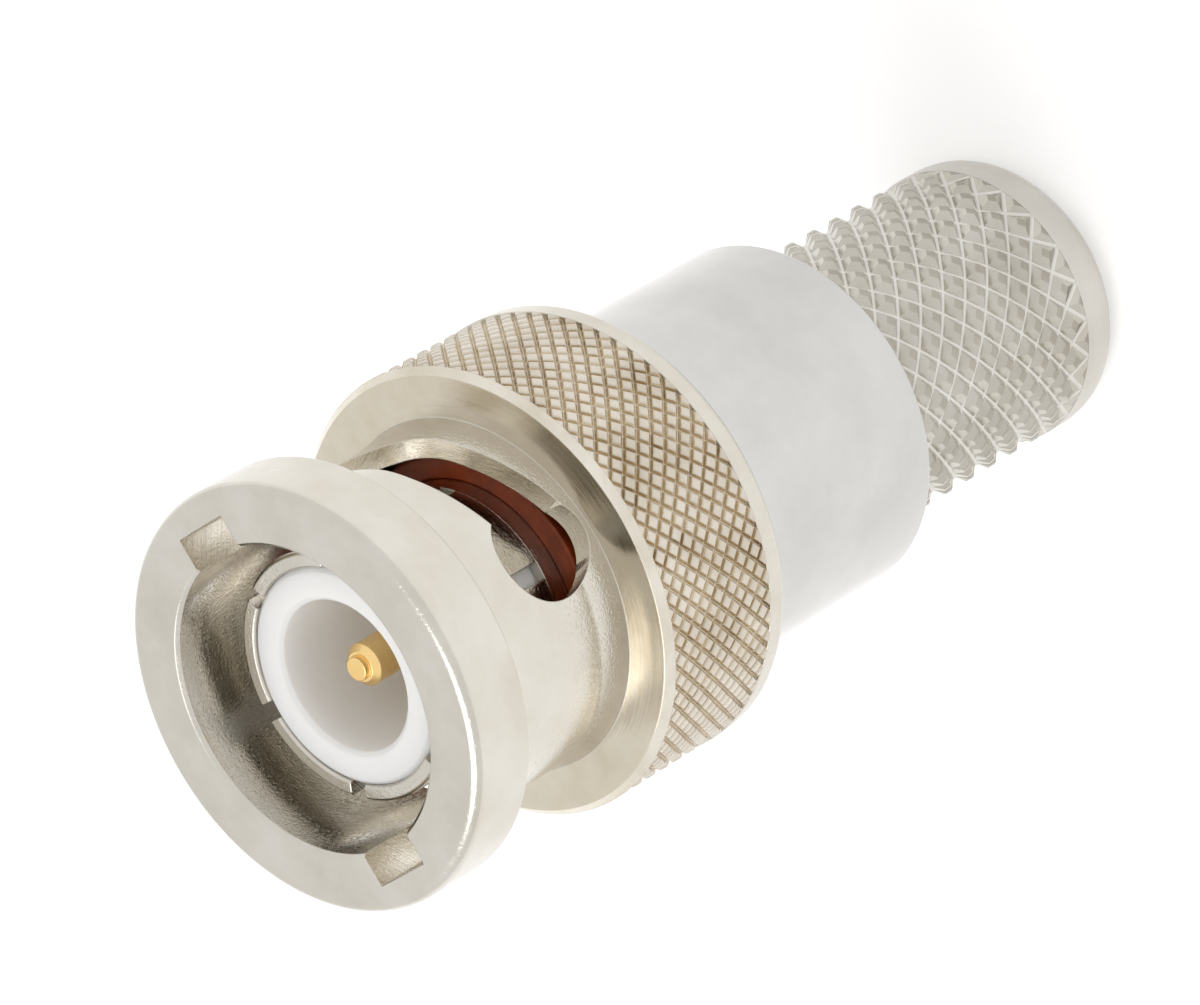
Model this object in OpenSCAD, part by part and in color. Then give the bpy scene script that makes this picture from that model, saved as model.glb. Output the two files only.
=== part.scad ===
// Bayonet-locking coaxial plug for a round screened cable.
// Stands on its cable end: +Z runs along the axis to the mating face.
// Depths are counted back from the mating face, towards the cable.

/* [Overall] */

// Length from cable end to mating face
total_length = 33.8; // [30:0.1:40]

/* [Coupling nut] */

// Diameter of the front flange
flange_d = 13.6; // [12:0.05:14]
// Length of the front flange
flange_length = 2.25; // [1.5:0.05:3]
// Edge round at the flange's front
flange_round = 0.35; // [0.05:0.01:0.6]
// Outside diameter of the slotted barrel
barrel_d = 11; // [10.6:0.02:11.4]
// Depth at which the barrel starts to flare
flare_depth = 7; // [6:0.05:8]
// Diameter at the foot of the flare
flare_d = 11.36; // [11:0.02:12.4]
// Depth of the collar's front face
collar_depth = 8.1; // [8.05:0.05:9.5]
// Diameter over the knurled collar
collar_d = 14.5; // [13:0.05:16]
// Chamfer at the collar's front edge
collar_chamfer = 0.25; // [0.05:0.01:0.6]
// Overall length of the nut
nut_length = 13.56; // [12:0.02:16]
// Edge round at the nut's rear
nut_rear_round = 0.35; // [0.05:0.01:0.5]
// Plain rim left behind the knurl
rear_rim = 0.8; // [0.3:0.05:2]
// Chamfer at the mouth of the bore
mouth_chamfer = 0.12; // [0.02:0.01:0.4]
// Thickness of the rear lip that holds the washers
lip_thickness = 1.2; // [0.6:0.05:2]

/* [Bayonet track] */

// Width of the entry groove
key_width = 2.2; // [2:0.02:2.6]
// Distance from the axis to the floor of the entry groove
key_reach = 5.85; // [5.4:0.01:6.2]
// Depth at which the entry groove meets the ramp
key_depth = 4.8; // [4:0.05:5.2]
// Angle from the entry groove to the locking hole, degrees
lock_angle = 86; // [80:0.5:95]
// Depth of the locking hole's centre
lock_depth = 6.25; // [6:0.05:6.4]
// Diameter of the locking hole
lock_d = 3.32; // [2.8:0.02:3.4]
// Width of the ramp from the entry groove to the hole
ramp_width = 2.4; // [2.1:0.05:2.6]

/* [Knurls] */

// Number of diamonds round the collar
fine_starts = 68; // [40:1:80]
// Number of staggered rows of diamonds along the collar
fine_rows = 14; // [8:1:16]
// Depth of the collar's knurl
fine_cut = 0.13; // [0.05:0.01:0.2]
// Share of each diamond on the collar left flat
fine_flat = 0.66; // [0.3:0.01:0.8]
// Number of diamonds round the grip
coarse_starts = 23; // [16:1:32]
// Number of staggered rows of diamonds along the grip
coarse_rows = 17; // [12:1:20]
// Depth of the grip's knurl
coarse_cut = 0.28; // [0.1:0.01:0.4]
// Share of each diamond on the grip left flat
coarse_flat = 0.3; // [0.2:0.01:0.8]

/* [Outer contact] */

// Depth of the spring fingers' tips
finger_depth = 1.8; // [1.5:0.05:3]
// Outside diameter of the fingers
finger_d = 7.7; // [7.4:0.02:7.9]
// Diameter over the contact bead at the tips
bead_d = 7.94; // [7.6:0.02:8.1]
// Length of the contact bead
bead_length = 1.2; // [0.6:0.05:2]
// Bore of the fingers
finger_bore_d = 6.94; // [6.4:0.02:7.2]
// Number of slots between the fingers
finger_slots = 6; // [4:2:8]
// Width of each slot
slot_width = 0.55; // [0.3:0.01:0.8]
// Length of each slot
slot_length = 5.4; // [3:0.05:6]
// Turn of the slots from the entry grooves, degrees
slot_turn = -3; // [-30:1:30]
// Depth of the shoulder's front face
shoulder_depth = 9; // [8.6:0.05:10]
// Diameter of the shoulder
shoulder_d = 9.2; // [8.6:0.02:9.3]
// Thickness of the shoulder
shoulder_thickness = 1.4; // [0.8:0.05:2]
// Height that the shoulder stands out from the spigot behind it
shoulder_step = 0.6; // [0.4:0.01:0.8]
// Bore of the spigot
spigot_bore_d = 6; // [5:0.02:6.4]
// Depth of the step that seats the front insulator
seat_depth = 11.8; // [11:0.05:13]

/* [Gasket and washers] */

// Thickness of the front gasket
gasket_thickness = 1.2; // [0.8:0.05:1.7]
// Thickness of the flat washer and the thrust washer
washer_thickness = 0.3; // [0.2:0.01:0.5]
// Thickness of the wave washers' strip
wave_thickness = 0.22; // [0.15:0.01:0.3]
// Number of waves round each wave washer
wave_count = 3; // [2:1:4]

/* [Inner conductor] */

// Diameter of the pin
pin_d = 1.35; // [1.3:0.01:1.4]
// Diameter of the pin where the front insulator holds it
pin_seat_d = 1.8; // [1.7:0.01:2.2]
// Length of that thicker part left proud of the cup's floor
pin_seat_proud = 0.1; // [0.05:0.01:0.5]
// Depth of the pin's tip
pin_tip_depth = 2.4; // [2:0.05:4]
// Diameter of the nib left on the pin's tip
pin_nib_d = 0.76; // [0.4:0.02:0.9]
// Length of the nib
pin_nib_length = 0.18; // [0.05:0.01:0.4]
// Length of the chamfer behind the nib
pin_chamfer = 0.2; // [0.1:0.01:0.5]
// Diameter of the pin's collar
pin_collar_d = 2.8; // [2:0.05:3.4]
// Length of the pin's collar
pin_collar_length = 0.8; // [0.4:0.05:1.5]
// Diameter of the pin's rear barrel
pin_barrel_d = 2.1; // [1.6:0.05:2.6]
// Bore of the pin's rear barrel
pin_socket_d = 1; // [0.6:0.02:1.4]
// Length of the bore in the pin's rear barrel
pin_socket_length = 5; // [3:0.1:8]
// Length of pin barrel that stands out behind the insulator
pin_barrel_reach = 1.4; // [0.5:0.1:3]

/* [Insulators] */

// Bore of the front insulator's cup
cup_d = 4.82; // [4.7:0.01:4.95]
// Depth of the floor of the cup
cup_floor_depth = 8.7; // [8:0.05:9.5]
// Edge chamfer on the insulators
insulator_chamfer = 0.15; // [0.05:0.01:0.4]

/* [Rear body] */

// Diameter of the rear body
body_d = 11.52; // [10.5:0.02:13]
// Length of the rear body
body_length = 8.8; // [7:0.05:12]
// Edge chamfer of the rear body
body_chamfer = 0.15; // [0.05:0.01:0.5]
// Length of the socket that holds the spigot
front_socket_length = 4.09; // [3:0.01:5]
// Thickness of the wall between the two sockets
web_thickness = 1.45; // [0.8:0.05:2.5]

/* [Cable grip] */

// Diameter over the grip's knurl
grip_d = 9.3; // [8:0.05:11]
// Round at the cable end of the grip
grip_round = 1; // [0.3:0.05:1.3]
// Plain land between the knurl and the round
grip_land = 0.8; // [0.2:0.05:2]
// Diameter of the grip's neck, pressed into the rear body
neck_d = 7.8; // [7:0.05:9]
// Bore of the plain lead-in for the cable's sheath
cable_bore_d = 6.3; // [5.8:0.05:6.5]
// Length of the plain lead-in ahead of the thread
lead_length = 3; // [1.5:0.1:5]
// Pitch of the sheath thread
sheath_pitch = 1.1; // [0.8:0.05:1.5]
// Height of the sheath thread, which stands in from the lead-in's bore
sheath_thread = 0.25; // [0.1:0.01:0.3]
// Outside diameter of the braid post
post_d = 4.7; // [4:0.02:5.2]
// Bore of the braid post
post_bore_d = 3.9; // [3.4:0.02:4.4]
// Length of the braid post behind the rear body's inner wall
post_length = 8.4; // [5:0.1:11]
// Thickness of the braid post's flange
post_flange = 0.4; // [0.2:0.05:0.8]

/* [Fits] */

// Radial gap between the shoulder and the nut's bore
shoulder_clearance = 0.28; // [0.1:0.01:0.35]
// Radial running clearance on the spigot
running_clearance = 0.05; // [0.01:0.01:0.1]
// Radial clearance of loose washers
washer_clearance = 0.1; // [0.05:0.01:0.2]
// Gap between the nut's rear face and the rear body
stop_gap = 0.1; // [0.02:0.01:0.3]
// Gap between two washers that press on each other
face_gap = 0.02; // [0.01:0.01:0.05]

/* [Hidden] */

$fn = 96;
full_turn = 360;
half_turn = 180;
round_steps = 5;
wave_steps = 36;
overcut = 1;
// How far the knurl's flats lie inside the plain rims beside them
rim_relief = 0.01;
// How far a knurled drum reaches into the plain metal beside it, at its axis
knurl_sink = 0.6;

// Height above the cable end of a point at a given depth
function height(depth) = total_length - depth;

// Points of a quarter round about a centre, from one angle to another
function quarter(centre, radius, from, to) =
    [for (k = [0 : round_steps]) let (a = from + (to - from) * k / round_steps)
        centre + radius * [cos(a), sin(a)]];

// What runs on the contact's shoulder and spigot
spigot_r = shoulder_d / 2 - shoulder_step;
nut_bore_r = shoulder_d / 2 + shoulder_clearance;
lip_bore_r = spigot_r + running_clearance;

// Coupling nut
flange_r = flange_d / 2;
barrel_r = barrel_d / 2;
collar_r = collar_d / 2;
nut_rear = height(nut_length);
knurl_top = height(collar_depth) - collar_chamfer;
knurl_bottom = nut_rear + rear_rim;
lip_front = nut_rear + lip_thickness;

// Bayonet track: stations along the ramp, as shares of its turn from groove to
// hole, and how much of its climb the rear wall has made at each
track_inner = finger_d / 2;
track_outer = key_reach + overcut / 4;
ramp_turn = [0, 0.15, 0.26, 0.34, 0.53, 0.65, 0.84, 1];
ramp_climb = [0.07, 0.39, 0.63, 0.7, 0.75, 0.8, 0.9, 0.99];
ramp_climb_length = lock_depth + lock_d / 2 - key_depth;

// Outer contact
finger_tip = height(finger_depth);
shoulder_front = height(shoulder_depth);
shoulder_rear = shoulder_front - shoulder_thickness;
seat = height(seat_depth);

// Rear body
body_front = nut_rear - stop_gap;
body_rear = body_front - body_length;
web_front = body_front - front_socket_length;
web_rear = web_front - web_thickness;

// Washer stack between the contact's shoulder and the nut's lip
washer_bore_r = spigot_r + washer_clearance;
washer_r = shoulder_d / 2;
flat_rear = shoulder_rear - washer_thickness;
thrust_rear = lip_front + face_gap;
thrust_front = thrust_rear + washer_thickness;
wave_height = (flat_rear - thrust_front - 3 * face_gap) / 2;
wave_front_base = flat_rear - face_gap - wave_height;
wave_rear_base = thrust_front + face_gap;

// Inner conductor and insulators
pin_tip = height(pin_tip_depth);
cup_floor = height(cup_floor_depth);
collar_rear = seat - pin_collar_length;
insulator_rear = web_front + post_flange;
pin_end = insulator_rear - pin_barrel_reach;

module around(points) {
    rotate_extrude() polygon(points);
}

// Solid drum with flat-topped diamonds left between two sets of V grooves. Its ends
// are shallow cones that stand out by below and above, into the metal beside them.
module knurled_drum(top_r, cut, length, starts, rows, flat_share, below, above) {
    step = full_turn / starts;
    pitch = length / rows;
    root_r = top_r - cut;
    half = flat_share * step / 2;
    function centre(j, i) = (i + (j % 2) / 2) * step;
    function spot(r, a, z) = [r * cos(a), r * sin(a), z];
    // Five points a cell: the groove crossing on its right, then its flat's
    // left, right, lower and upper corners
    cells = [for (j = [0 : rows], i = [0 : starts - 1])
        let (a = centre(j, i), z = j * pitch)
        each [
            spot(root_r, a + step / 2, z),
            spot(top_r, a - half, z),
            spot(top_r, a + half, z),
            spot(top_r, a, max(0, z - flat_share * pitch)),
            spot(top_r, a, min(length, z + flat_share * pitch))
        ]];
    base = len(cells);
    points = concat(cells, [[0, 0, -below], [0, 0, length + above]]);
    function at(j, i, k) = 5 * (j * starts + (i + starts) % starts) + k;
    function left(j, i) = at(j, i - 1, 0);
    function right(j, i) = at(j, i, 0);
    function beyond(j, i, up) = at(j + up, i - 1 + j % 2, 0);
    lower = [for (j = [1 : rows], i = [0 : starts - 1])
        let (l = left(j, i), r = right(j, i), v = beyond(j, i, -1),
            fl = at(j, i, 1), fr = at(j, i, 2), fb = at(j, i, 3))
        each [[l, fl, fb], [l, fb, v], [v, fb, fr], [v, fr, r]]];
    upper = [for (j = [0 : rows - 1], i = [0 : starts - 1])
        let (l = left(j, i), r = right(j, i), v = beyond(j, i, 1),
            fl = at(j, i, 1), fr = at(j, i, 2), ft = at(j, i, 4))
        each [[l, v, ft], [l, ft, fl], [v, r, fr], [v, fr, ft]]];
    flats = [for (j = [1 : rows - 1], i = [0 : starts - 1])
        let (fl = at(j, i, 1), fr = at(j, i, 2), fb = at(j, i, 3), ft = at(j, i, 4))
        each [[fl, ft, fb], [fb, ft, fr]]];
    ends = [for (i = [0 : starts - 1])
        each [
            [at(0, i, 1), at(0, i, 4), at(0, i, 2)],
            [at(rows, i, 1), at(rows, i, 2), at(rows, i, 3)],
            [base, left(0, i), at(0, i, 1)],
            [base, at(0, i, 1), at(0, i, 2)],
            [base, at(0, i, 2), right(0, i)],
            [base + 1, at(rows, i, 1), left(rows, i)],
            [base + 1, at(rows, i, 2), at(rows, i, 1)],
            [base + 1, right(rows, i), at(rows, i, 2)]
        ]];
    polyhedron(points, concat(lower, upper, flats, ends));
}

// Curved cutter that opens the ramp between the entry groove and the hole
module ramp_cutter() {
    count = len(ramp_turn);
    function rear(k) = key_depth + ramp_climb[k] * ramp_climb_length;
    function front(k) = rear(k) - ramp_width;
    function corner(r, a, depth) = [r * cos(a), -r * sin(a), height(depth)];
    points = [for (k = [0 : count - 1]) let (a = ramp_turn[k] * lock_angle) each [
        corner(track_inner, a, front(k)),
        corner(track_outer, a, front(k)),
        corner(track_outer, a, rear(k)),
        corner(track_inner, a, rear(k))
    ]];
    walls = [for (k = [0 : count - 2], s = [0 : 3])
        let (a = 4 * k + s, b = 4 * k + (s + 1) % 4)
        each [[a, b, b + 4], [a, b + 4, a + 4]]];
    end = 4 * (count - 1);
    caps = [[3, 2, 1], [3, 1, 0], [end, end + 1, end + 2], [end, end + 2, end + 3]];
    polyhedron(points, concat(walls, caps));
}

module bayonet_track() {
    translate([0, -key_width / 2, height(key_depth)])
        cube([key_reach, key_width, key_depth + overcut]);
    ramp_cutter();
    rotate([0, 0, -lock_angle])
        translate([track_inner, 0, height(lock_depth)])
            rotate([0, 90, 0])
                cylinder(h = track_outer - track_inner, d = lock_d);
}

module coupling_nut() {
    collar_front = height(collar_depth);
    color([0.80, 0.76, 0.69]) difference() {
        union() {
            around(concat(
                [[0, knurl_top], [collar_r, knurl_top], [collar_r - collar_chamfer, collar_front],
                 [flare_d / 2, collar_front], [barrel_r, height(flare_depth)],
                 [barrel_r, height(flange_length)], [flange_r, height(flange_length)]],
                quarter([flange_r - flange_round, total_length - flange_round], flange_round, 0, 90),
                [[0, total_length]]));
            translate([0, 0, knurl_bottom])
                knurled_drum(collar_r - rim_relief, fine_cut, knurl_top - knurl_bottom,
                    fine_starts, fine_rows, fine_flat, knurl_sink, knurl_sink);
            around(concat(
                [[0, nut_rear]],
                quarter([collar_r - nut_rear_round, nut_rear + nut_rear_round], nut_rear_round, -90, 0),
                [[collar_r, knurl_bottom], [0, knurl_bottom]]));
        }
        around([
            [0, nut_rear - overcut], [lip_bore_r, nut_rear - overcut], [lip_bore_r, lip_front],
            [nut_bore_r, lip_front], [nut_bore_r, total_length - mouth_chamfer],
            [nut_bore_r + mouth_chamfer + overcut, total_length + overcut],
            [0, total_length + overcut]]);
        for (turn = [0, half_turn]) rotate([0, 0, turn]) bayonet_track();
    }
}

module outer_contact() {
    bead_end = finger_tip - bead_length;
    bead_ease = (bead_d - finger_d) / 2;
    lead_in = (bead_d - finger_bore_d) / 8;
    color([0.82, 0.78, 0.70]) difference() {
        around([
            [finger_bore_d / 2, seat], [finger_bore_d / 2, finger_tip - lead_in],
            [finger_bore_d / 2 + lead_in, finger_tip],
            [bead_d / 2 - 2 * lead_in, finger_tip],
            [bead_d / 2, finger_tip - 2 * lead_in],
            [bead_d / 2, bead_end + bead_ease],
            [finger_d / 2, bead_end], [finger_d / 2, shoulder_front],
            [shoulder_d / 2, shoulder_front], [shoulder_d / 2, shoulder_rear],
            [spigot_r, shoulder_rear], [spigot_r, web_front],
            [spigot_bore_d / 2, web_front], [spigot_bore_d / 2, seat]]);
        for (k = [0 : finger_slots / 2 - 1])
            rotate([0, 0, slot_turn + (k + 0.5) * full_turn / finger_slots])
                translate([-bead_d, -slot_width / 2, finger_tip - slot_length])
                    cube([2 * bead_d, slot_width, slot_length + overcut]);
    }
}

module front_gasket() {
    color([0.62, 0.17, 0.10]) around([
        [finger_d / 2, shoulder_front], [shoulder_d / 2, shoulder_front],
        [shoulder_d / 2, shoulder_front + gasket_thickness],
        [finger_d / 2, shoulder_front + gasket_thickness]]);
}

module front_insulator() {
    outer_r = finger_bore_d / 2;
    color([0.93, 0.93, 0.92]) around([
        [pin_seat_d / 2, seat], [outer_r, seat], [outer_r, finger_tip - insulator_chamfer],
        [outer_r - insulator_chamfer, finger_tip],
        [cup_d / 2 + insulator_chamfer, finger_tip],
        [cup_d / 2, finger_tip - insulator_chamfer], [cup_d / 2, cup_floor],
        [pin_seat_d / 2, cup_floor]]);
}

module centre_pin() {
    nib_base = pin_tip - pin_nib_length;
    color([0.86, 0.66, 0.33]) difference() {
        around([
            [0, pin_end], [pin_barrel_d / 2, pin_end], [pin_barrel_d / 2, collar_rear],
            [pin_collar_d / 2, collar_rear], [pin_collar_d / 2, seat],
            [pin_seat_d / 2, seat], [pin_seat_d / 2, cup_floor + pin_seat_proud],
            [pin_d / 2, cup_floor + pin_seat_proud],
            [pin_d / 2, nib_base - pin_chamfer], [pin_d / 2 - pin_chamfer, nib_base],
            [pin_nib_d / 2, nib_base], [pin_nib_d / 2, pin_tip], [0, pin_tip]]);
        translate([0, 0, pin_end - overcut])
            cylinder(h = pin_socket_length + overcut, d = pin_socket_d);
    }
}

module rear_insulator() {
    color([0.93, 0.93, 0.92]) around([
        [pin_barrel_d / 2, insulator_rear], [spigot_bore_d / 2, insulator_rear],
        [spigot_bore_d / 2, seat], [pin_collar_d / 2, seat],
        [pin_collar_d / 2, collar_rear], [pin_barrel_d / 2, collar_rear]]);
}

module braid_post() {
    tail = web_front - post_length;
    lead = (post_d - post_bore_d) / 4;
    color([0.80, 0.76, 0.69]) around([
        [post_bore_d / 2, tail], [post_d / 2 - lead, tail], [post_d / 2, tail + lead],
        [post_d / 2, web_front], [spigot_bore_d / 2, web_front],
        [spigot_bore_d / 2, insulator_rear], [post_bore_d / 2, insulator_rear]]);
}

module plain_washer(bore_r) {
    difference() {
        cylinder(h = washer_thickness, r = washer_r);
        translate([0, 0, -overcut])
            cylinder(h = washer_thickness + 2 * overcut, r = bore_r);
    }
}

// Ring of thin strip bent into waves, standing between zero and its height
module wave_ring(phase) {
    swing = (wave_height - wave_thickness) / 2;
    points = [for (k = [0 : wave_steps - 1])
        let (a = k * full_turn / wave_steps,
            z = swing * (1 + cos(wave_count * a + phase)))
        each [for (p = [[washer_bore_r, z], [washer_r, z],
                [washer_r, z + wave_thickness], [washer_bore_r, z + wave_thickness]])
            [p[0] * cos(a), p[0] * sin(a), p[1]]]];
    faces = [for (k = [0 : wave_steps - 1], s = [0 : 3])
        let (a = 4 * k + s, b = 4 * k + (s + 1) % 4,
            c = (4 * (k + 1) + (s + 1) % 4) % (4 * wave_steps),
            d = (4 * (k + 1) + s) % (4 * wave_steps))
        each [[a, c, b], [a, d, c]]];
    polyhedron(points, faces);
}

module flat_washer() {
    color([0.78, 0.76, 0.72]) translate([0, 0, flat_rear]) plain_washer(washer_bore_r);
}

module wave_washer_front() {
    color([0.72, 0.70, 0.66]) translate([0, 0, wave_front_base]) wave_ring(0);
}

module wave_washer_rear() {
    color([0.72, 0.70, 0.66]) translate([0, 0, wave_rear_base]) wave_ring(half_turn);
}

module thrust_washer() {
    color([0.78, 0.76, 0.72]) translate([0, 0, thrust_rear]) plain_washer(lip_bore_r);
}

module rear_body() {
    r = body_d / 2;
    color([0.80, 0.79, 0.77]) around([
        [post_d / 2, web_rear], [neck_d / 2, web_rear], [neck_d / 2, body_rear],
        [r - body_chamfer, body_rear], [r, body_rear + body_chamfer],
        [r, body_front - body_chamfer], [r - body_chamfer, body_front],
        [spigot_r, body_front], [spigot_r, web_front], [post_d / 2, web_front]]);
}

// Bore whose wall stands in as rings that bite on the cable's sheath
module sheath_bore() {
    count = floor((web_rear - lead_length) / sheath_pitch);
    root_r = cable_bore_d / 2;
    crest_r = root_r - sheath_thread;
    around(concat(
        [[0, -overcut], [root_r, -overcut]],
        [for (k = [0 : count - 1]) let (z = lead_length + k * sheath_pitch)
            each [[root_r, z], [crest_r, z + sheath_pitch / 2]]],
        [[root_r, lead_length + count * sheath_pitch], [root_r, web_rear + overcut],
         [0, web_rear + overcut]]));
}

module grip_sleeve() {
    r = grip_d / 2;
    knurl_start = grip_round + grip_land;
    color([0.84, 0.83, 0.81]) difference() {
        union() {
            around(concat([[0, 0]], quarter([r - grip_round, grip_round], grip_round, -90, 0),
                [[r, knurl_start], [0, knurl_start]]));
            translate([0, 0, knurl_start])
                knurled_drum(r - rim_relief, coarse_cut, body_rear - knurl_start,
                    coarse_starts, coarse_rows, coarse_flat, knurl_sink, 0);
            translate([0, 0, body_rear - knurl_sink])
                cylinder(h = web_rear - body_rear + knurl_sink, d = neck_d);
        }
        sheath_bore();
    }
}

coupling_nut();
outer_contact();
front_gasket();
front_insulator();
centre_pin();
rear_insulator();
braid_post();
flat_washer();
wave_washer_front();
wave_washer_rear();
thrust_washer();
rear_body();
grip_sleeve();
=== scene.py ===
"""Looks of a bayonet-locking coaxial plug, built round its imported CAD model.

Sizes are in millimetres until a mesh is made. Heights run up the axis from the
cable end, which stands on the floor, to the mating face at the top.
"""

import logging
import math
import random
from dataclasses import dataclass, field
from enum import Enum

import bpy
import numpy as np
from mathutils import Matrix, Vector


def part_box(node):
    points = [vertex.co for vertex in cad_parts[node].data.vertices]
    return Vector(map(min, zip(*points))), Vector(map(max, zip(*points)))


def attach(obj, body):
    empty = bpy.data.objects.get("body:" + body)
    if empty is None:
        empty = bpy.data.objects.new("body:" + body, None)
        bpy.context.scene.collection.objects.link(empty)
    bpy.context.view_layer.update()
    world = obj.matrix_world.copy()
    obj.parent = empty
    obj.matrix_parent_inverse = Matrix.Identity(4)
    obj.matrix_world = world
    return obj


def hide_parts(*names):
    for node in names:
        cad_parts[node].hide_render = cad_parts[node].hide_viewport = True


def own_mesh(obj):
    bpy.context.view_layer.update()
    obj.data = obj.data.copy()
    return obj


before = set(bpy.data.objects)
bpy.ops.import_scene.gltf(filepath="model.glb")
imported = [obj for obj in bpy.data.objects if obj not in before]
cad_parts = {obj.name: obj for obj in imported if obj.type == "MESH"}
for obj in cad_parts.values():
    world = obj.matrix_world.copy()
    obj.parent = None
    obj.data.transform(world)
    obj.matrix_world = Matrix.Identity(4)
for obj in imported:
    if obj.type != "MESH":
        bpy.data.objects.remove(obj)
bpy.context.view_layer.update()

MM = 0.001
SEGMENTS = 256
# Sizes of patterns that every finish shares, mm
STAIN_SIZE = 2.4
SHADE_SIZE = 1.5
SCRATCH_GAP = 0.05
DENT_GAP = 0.09
# Share of the radius that is added to the height, so that marks run on over cones and faces
FACE_SHARE = 0.83
log = logging.getLogger("plug")

Point = tuple[float, float]
Triple = tuple[float, float, float]


def linear(code: str) -> tuple[float, float, float, float]:
    """Turns an sRGB hex colour into linear light.

    Args:
        code: the colour as six hex digits after a hash.

    Returns:
        Red, green, blue and alpha in linear light.
    """
    parts = [int(code[k:k + 2], 16) / 255 for k in (1, 3, 5)]
    return (*[p / 12.92 if p <= 0.04045 else ((p + 0.055) / 1.055) ** 2.4 for p in parts], 1.0)


def add(tree: bpy.types.NodeTree, kind: str, settings: dict | None = None,
        inputs: dict | None = None) -> bpy.types.Node:
    """Adds a node to a tree, sets it up and links it.

    Args:
        tree: the node tree that gets the node.
        kind: the node's type name.
        settings: the node's own properties by name.
        inputs: values or output sockets by input name or number.

    Returns:
        The new node.
    """
    node = tree.nodes.new(kind)
    for name, value in (settings or {}).items():
        setattr(node, name, value)
    for name, value in (inputs or {}).items():
        if isinstance(value, bpy.types.NodeSocket):
            tree.links.new(value, node.inputs[name])
        else:
            node.inputs[name].default_value = value
    return node


# ---------------------------------------------------------------- turned shapes


@dataclass(frozen=True)
class Corner:
    """A corner of a turned profile, with its round and the finish that follows it."""

    r: float
    z: float
    round: float = 0.0
    slot: int = 0


@dataclass(frozen=True)
class Stretch:
    """A short straight piece of a profile, with the true normal at each end."""

    start: Point
    end: Point
    start_normal: Point
    end_normal: Point
    slot: int


def unit(x: float, y: float) -> Point:
    """Returns the pair scaled to length one."""
    size = math.hypot(x, y) or 1.0
    return (x / size, y / size)


def stretches(corners: list[Corner], arc_step: float = 15.0) -> list[Stretch]:
    """Breaks a closed profile into straight pieces, with its corners rounded.

    Args:
        corners: the corners, anticlockwise with the radius to the right.
        arc_step: the turn of one piece of a round, in degrees.

    Returns:
        The pieces in order, each with outward normals at its ends.
    """
    count = len(corners)
    ends: list[list[Point]] = []
    arcs: list[list[Stretch]] = []
    for k, corner in enumerate(corners):
        before, after = corners[k - 1], corners[(k + 1) % count]
        into = unit(corner.r - before.r, corner.z - before.z)
        out = unit(after.r - corner.r, after.z - corner.z)
        turn = math.atan2(into[0] * out[1] - into[1] * out[0], into[0] * out[0] + into[1] * out[1])
        if corner.round <= 0 or abs(turn) < 0.02:
            ends.append([(corner.r, corner.z)] * 2)
            arcs.append([])
            continue
        cut = corner.round * math.tan(abs(turn) / 2)
        first = (corner.r - into[0] * cut, corner.z - into[1] * cut)
        last = (corner.r + out[0] * cut, corner.z + out[1] * cut)
        side = 1.0 if turn > 0 else -1.0
        normal_in, steps = (into[1], -into[0]), max(2, math.ceil(math.degrees(abs(turn)) / arc_step))
        centre = (first[0] - side * normal_in[0] * corner.round,
                  first[1] - side * normal_in[1] * corner.round)
        points, normals = [], []
        for s in range(steps + 1):
            a = turn * s / steps
            n = (normal_in[0] * math.cos(a) - normal_in[1] * math.sin(a),
                 normal_in[0] * math.sin(a) + normal_in[1] * math.cos(a))
            normals.append(n)
            points.append((centre[0] + side * n[0] * corner.round, centre[1] + side * n[1] * corner.round))
        arcs.append([Stretch(points[s], points[s + 1], normals[s], normals[s + 1], corner.slot)
                     for s in range(steps)])
        ends.append([first, last])
    result: list[Stretch] = []
    for k, corner in enumerate(corners):
        result += arcs[k]
        start, end = ends[k][1], ends[(k + 1) % count][0]
        if math.dist(start, end) > 1e-6:
            along = unit(end[0] - start[0], end[1] - start[1])
            normal = (along[1], -along[0])
            result.append(Stretch(start, end, normal, normal, corner.slot))
    return result


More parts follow.
